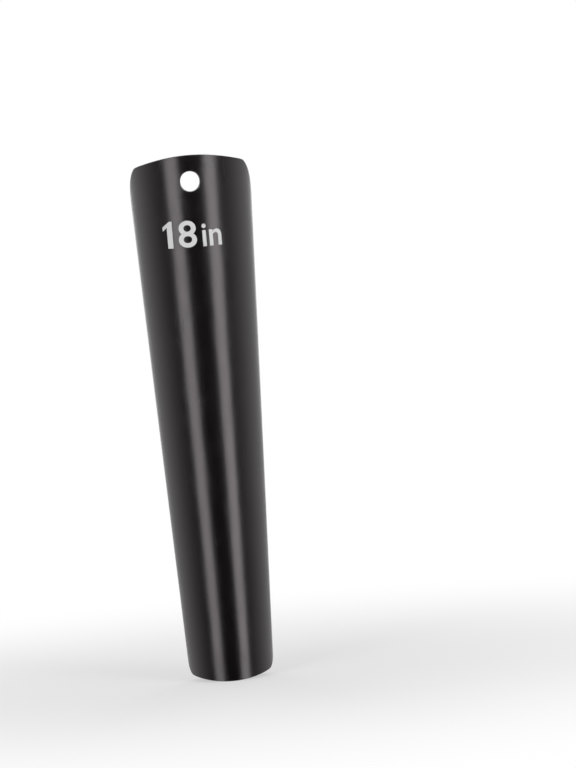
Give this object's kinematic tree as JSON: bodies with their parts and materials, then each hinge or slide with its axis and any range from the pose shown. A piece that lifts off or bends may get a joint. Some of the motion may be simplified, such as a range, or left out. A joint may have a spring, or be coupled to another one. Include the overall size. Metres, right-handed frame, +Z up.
{
  "type": "boot shaper",
  "caption": "Spring-loaded boot shaper: two tapered half-pipe plastic shells on a pin hinge at the foot, each with a round hanging hole at the top.",
  "frame": {"origin": "bottom centre of the shaper's box at rest, straight below the hinge axis", "axes": "+X across the shaper, front shell towards -Y, +Z up from the hinge end to the hanging holes"},
  "size_m": [0.104, 0.141, 0.4553],
  "materials": {
    "shell_plastic": "satin black moulded plastic",
    "pin_steel": "bright drawn steel",
    "spring_steel": "oiled spring wire",
    "keeper_steel": "zinc plated pressed steel",
    "screw_steel": "zinc plated steel",
    "nylon": "natural nylon",
    "mark_ink": "pad-printed light grey ink, used by the size mark alone"
  },
  "bodies": {
    "front_half": {"front_shell": "shell_plastic", "hinge_pin": "pin_steel", "pin_cap": "pin_steel", "hinge_washer_left": "nylon", "hinge_washer_right": "nylon", "spring_spool_left": "nylon", "spring_spool_right": "nylon", "torsion_spring": "spring_steel", "spring_keeper_front": "keeper_steel", "keeper_screws_front": "screw_steel"},
    "rear_half": {"rear_shell": "shell_plastic", "spring_keeper_rear": "keeper_steel", "keeper_screws_rear": "screw_steel"}
  },
  "joints": [
    {"name": "shell_hinge", "type": "hinge", "parent": "front_half", "child": "rear_half", "pos_m": [0, 0, 0.01663], "axis": [1, 0, 0], "range_deg": [0, 7], "stiffness_Nm_per_rad": 1.4, "springref_deg": -20.05, "deforming": ["torsion_spring"]}
  ]
}
